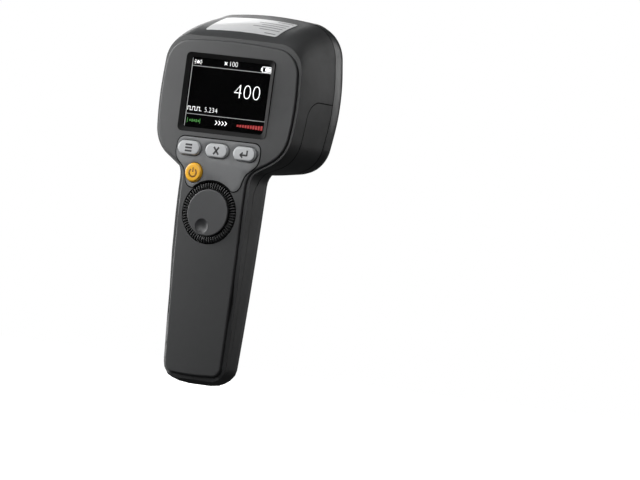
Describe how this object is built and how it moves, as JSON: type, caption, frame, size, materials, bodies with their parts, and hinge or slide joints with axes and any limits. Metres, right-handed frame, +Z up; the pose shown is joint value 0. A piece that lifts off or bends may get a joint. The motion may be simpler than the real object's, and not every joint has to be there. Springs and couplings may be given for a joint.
{
  "type": "handheld LED stroboscope",
  "caption": "Pistol-shaped stroboscope: tapered handle, rounded lamp head with a lens grid, colour screen, oval keys, round power key and a knurled dial.",
  "frame": {"origin": "middle of the hand grip, on the object's plane of symmetry", "axes": "+X the user's right when looking at the screen, +Y the direction the light leaves, +Z up from the handle to the head"},
  "size_m": [0.104, 0.0607, 0.2324],
  "materials": {
    "housing_dark": "fine matte texture",
    "housing_satin": "satin",
    "bezel_satin": "satin",
    "panel_grey": "matte",
    "window_clear": "clear, gloss",
    "display_black": "gloss",
    "inner_plastic": "moulded",
    "ribbon_film": "amber film",
    "key_grey": "soft matte",
    "key_orange": "soft matte",
    "dial_black": "knurled",
    "dial_disc": "fine matte",
    "shaft_steel": "turned",
    "encoder_metal": "pressed",
    "board_green": "solder mask",
    "board_white": "solder mask",
    "screw_steel": "zinc plated",
    "screw_black": "blackened",
    "chip_black": "moulded",
    "can_aluminium": "drawn",
    "plate_black": "gloss",
    "emitter_yellow": "phosphor",
    "pad_grey": "soft",
    "sink_aluminium": "extruded",
    "cell_sleeve": "shrink sleeve",
    "contact_brass": "plated",
    "socket_steel": "pressed",
    "wire_red": "insulation",
    "plug_white": "moulded",
    "label_silver": "satin film",
    "lens_clear": "polished"
  },
  "bodies": {
    "instrument": {"battery_cells": "cell_sleeve", "battery_contacts": "contact_brass", "battery_leads": "wire_red", "battery_plug": "plug_white", "battery_tray": "inner_plastic", "board_screws": "screw_steel", "charging_socket": "socket_steel", "display_frame": "inner_plastic", "display_module": "display_black", "display_ribbon": "ribbon_film", "display_window": "window_clear", "driver_inductors": "chip_black", "encoder_body": "encoder_metal", "front_bezel": "bezel_satin", "grip_housing": "housing_satin", "grip_screws": "screw_black", "heat_sink": "sink_aluminium", "key_panel": "panel_grey", "key_switches": "inner_plastic", "lamp_screws": "screw_steel", "led_board": "board_white", "led_cable": "wire_red", "led_emitters": "emitter_yellow", "led_lens_1": "lens_clear", "led_lens_2": "lens_clear", "led_lens_3": "lens_clear", "led_lens_4": "lens_clear", "led_lens_5": "lens_clear", "led_lens_6": "lens_clear", "led_lens_7": "lens_clear", "led_lens_8": "lens_clear", "led_lens_9": "lens_clear", "lens_plate": "plate_black", "main_board": "board_green", "processor": "chip_black", "rating_label": "label_silver", "rear_housing": "housing_dark", "storage_capacitors": "can_aluminium", "thermal_pad": "pad_grey"},
    "left_key": {"key_left": "key_grey", "switch_plunger_left": "inner_plastic"},
    "middle_key": {"key_middle": "key_grey", "switch_plunger_middle": "inner_plastic"},
    "right_key": {"key_right": "key_grey", "switch_plunger_right": "inner_plastic"},
    "power_button": {"power_key": "key_orange", "switch_plunger_power": "inner_plastic"},
    "dial": {"dial_rim": "dial_black", "dial_cap": "dial_disc", "encoder_shaft": "shaft_steel"}
  },
  "joints": [
    {"name": "left_key_press", "type": "slide", "parent": "instrument", "child": "left_key", "axis": [0, 1, 0], "range_m": [0, 0.0008], "stiffness_N_per_m": 900, "springref_m": -0.0012},
    {"name": "middle_key_press", "type": "slide", "parent": "instrument", "child": "middle_key", "axis": [0, 1, 0], "range_m": [0, 0.0008], "stiffness_N_per_m": 900, "springref_m": -0.0012},
    {"name": "right_key_press", "type": "slide", "parent": "instrument", "child": "right_key", "axis": [0, 1, 0], "range_m": [0, 0.0008], "stiffness_N_per_m": 900, "springref_m": -0.0012},
    {"name": "power_button_press", "type": "slide", "parent": "instrument", "child": "power_button", "axis": [0, 1, 0], "range_m": [0, 0.0008], "stiffness_N_per_m": 900, "springref_m": -0.0012},
    {"name": "dial_turn", "type": "hinge", "parent": "instrument", "child": "dial", "pos_m": [0, 0, 0.042], "axis": [0, 1, 0], "continuous": true}
  ]
}
